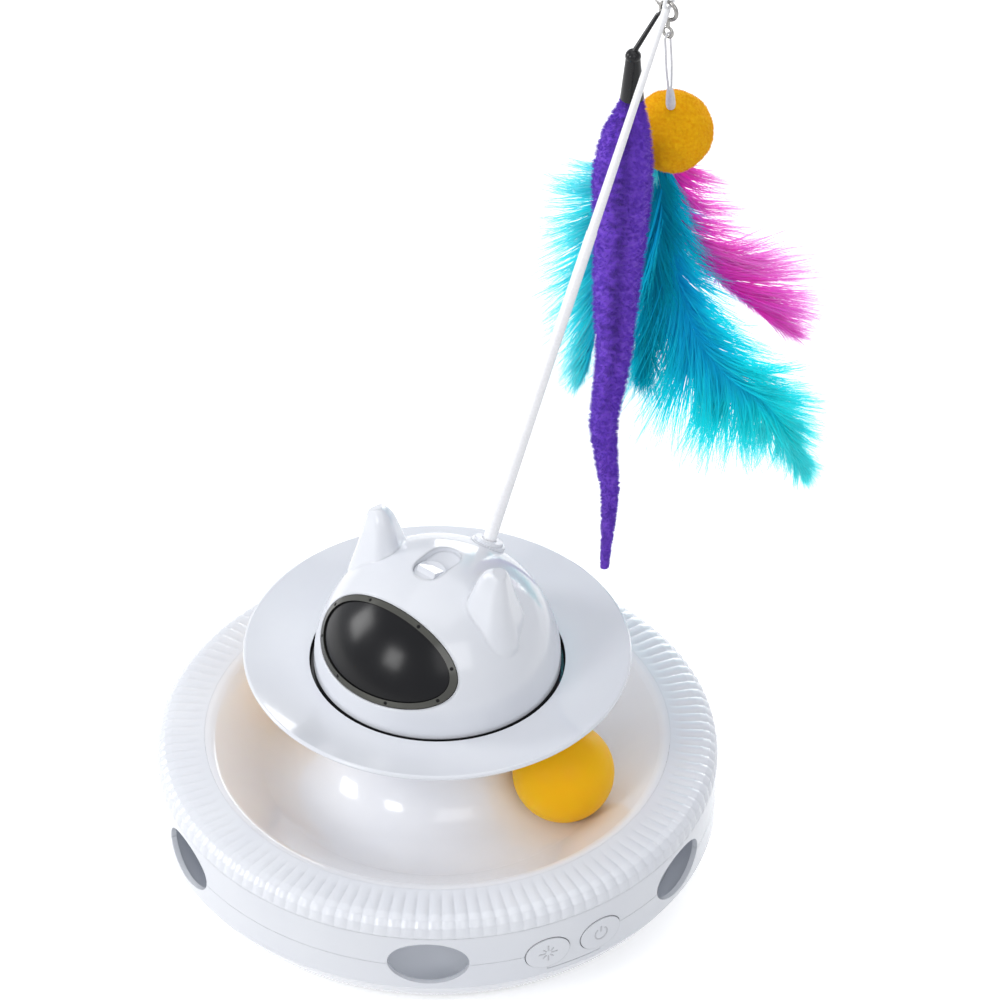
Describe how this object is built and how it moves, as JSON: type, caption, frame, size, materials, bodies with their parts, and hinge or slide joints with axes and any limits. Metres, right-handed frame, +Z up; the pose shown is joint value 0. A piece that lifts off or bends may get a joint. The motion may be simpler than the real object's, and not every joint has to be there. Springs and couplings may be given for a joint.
{
  "type": "automatic cat toy",
  "caption": "Round fluted base with a ball track and peek holes, and a motor-turned cat-eared head that sweeps a wand with a soft worm, a pom-pom and feathers.",
  "frame": {"origin": "on the floor, under the middle of the round base", "axes": "+Z up along the axis that the head turns on; -Y is the side of the peek hole left of the buttons"},
  "size_m": [0.2883, 0.284, 0.3654],
  "materials": {
    "white_plastic": "gloss",
    "motor_case": "satin",
    "cell_wrap": "satin",
    "circuit_board": "matte",
    "inlet_steel": "satin",
    "visor_clear": "gloss, slightly clear",
    "visor_smoke": "high gloss",
    "visor_dark": "matte",
    "nickel": "polished",
    "black_rubber": "matte",
    "purple_chenille": "soft pile",
    "white_cord": "twisted",
    "yellow_felt": "felted",
    "feather_turquoise": "barbed",
    "feather_blue": "barbed",
    "feather_magenta": "barbed",
    "ball_yellow": "satin",
    "foot_rubber": "matte"
  },
  "bodies": {
    "base": {"pan_floor": "white_plastic", "pan_wall": "white_plastic", "side_band": "white_plastic", "track_bowl": "white_plastic", "pedestal": "white_plastic", "fluted_rim": "white_plastic", "guard_ring": "white_plastic", "deck": "white_plastic", "gear_motor": "motor_case", "battery_cell": "cell_wrap", "switch_board": "circuit_board", "charge_inlet": "inlet_steel", "foot_1": "foot_rubber", "foot_2": "foot_rubber", "foot_3": "foot_rubber", "foot_4": "foot_rubber", "foot_5": "foot_rubber", "foot_6": "foot_rubber", "foot_7": "foot_rubber"},
    "head": {"head_shell": "white_plastic", "head_hub": "white_plastic", "visor_rim": "visor_clear", "visor_lens": "visor_smoke", "visor_backing": "visor_dark", "wand_socket": "white_plastic"},
    "slider": {"head_slider": "white_plastic"},
    "wand": {"wand_rod": "white_plastic", "wand_tip": "white_plastic"},
    "lure": {"clasp_body": "nickel", "worm_cap": "black_rubber", "worm": "purple_chenille"},
    "lever": {"clasp_lever": "nickel"},
    "pom": {"pom_string": "white_cord", "string_sleeve": "white_cord", "pom_pom": "yellow_felt", "feather_left": "feather_turquoise", "feather_mid": "feather_blue", "feather_right": "feather_turquoise", "feather_magenta": "feather_magenta"},
    "track_ball_1": {"ball_1": "ball_yellow"},
    "track_ball_2": {"ball_2": "ball_yellow"},
    "light_button": {"button_light": "white_plastic"},
    "power_button": {"button_power": "white_plastic"}
  },
  "joints": [
    {"name": "head_spin", "type": "hinge", "parent": "base", "child": "head", "pos_m": [0, 0, 0.098], "axis": [0, 0, 1], "continuous": true},
    {"name": "ball_run_1", "type": "hinge", "parent": "base", "child": "track_ball_1", "pos_m": [0, 0, 0.062], "axis": [0, 0, 1], "continuous": true},
    {"name": "ball_run_2", "type": "hinge", "parent": "base", "child": "track_ball_2", "pos_m": [0, 0, 0.062], "axis": [0, 0, 1], "continuous": true},
    {"name": "slider_slide", "type": "slide", "parent": "head", "child": "slider", "axis": [0.6198, 0.7848, 0], "range_m": [0, 0.01]},
    {"name": "wand_unplug", "type": "slide", "parent": "head", "child": "wand", "axis": [0.2895, 0.3666, 0.8842], "range_m": [0, 0.012]},
    {"name": "lure_swing", "type": "hinge", "parent": "wand", "child": "lure", "pos_m": [0.09246, 0.11707, 0.36172], "axis": [0.6198, 0.7848, 0], "range_deg": [0, 18]},
    {"name": "clasp_open", "type": "hinge", "parent": "lure", "child": "lever", "pos_m": [0.08921, 0.11963, 0.35679], "axis": [0.6198, 0.7848, 0], "range_deg": [0, 20], "stiffness_Nm_per_rad": 0.003, "springref_deg": -11.46},
    {"name": "pom_swing", "type": "hinge", "parent": "lure", "child": "pom", "pos_m": [0.09246, 0.11707, 0.34452], "axis": [0.7848, -0.6198, 0], "range_deg": [0, 25]},
    {"name": "light_press", "type": "slide", "parent": "base", "child": "light_button", "axis": [-0.4099, 0.9121, 0], "range_m": [0, 0.0008], "stiffness_N_per_m": 800, "springref_m": -0.0005},
    {"name": "power_press", "type": "slide", "parent": "base", "child": "power_button", "axis": [-0.5906, 0.807, 0], "range_m": [0, 0.0008], "stiffness_N_per_m": 800, "springref_m": -0.0005}
  ],
  "couplings": [
    {"joint": "ball_run_2", "follows": "ball_run_1", "ratio": 1}
  ]
}
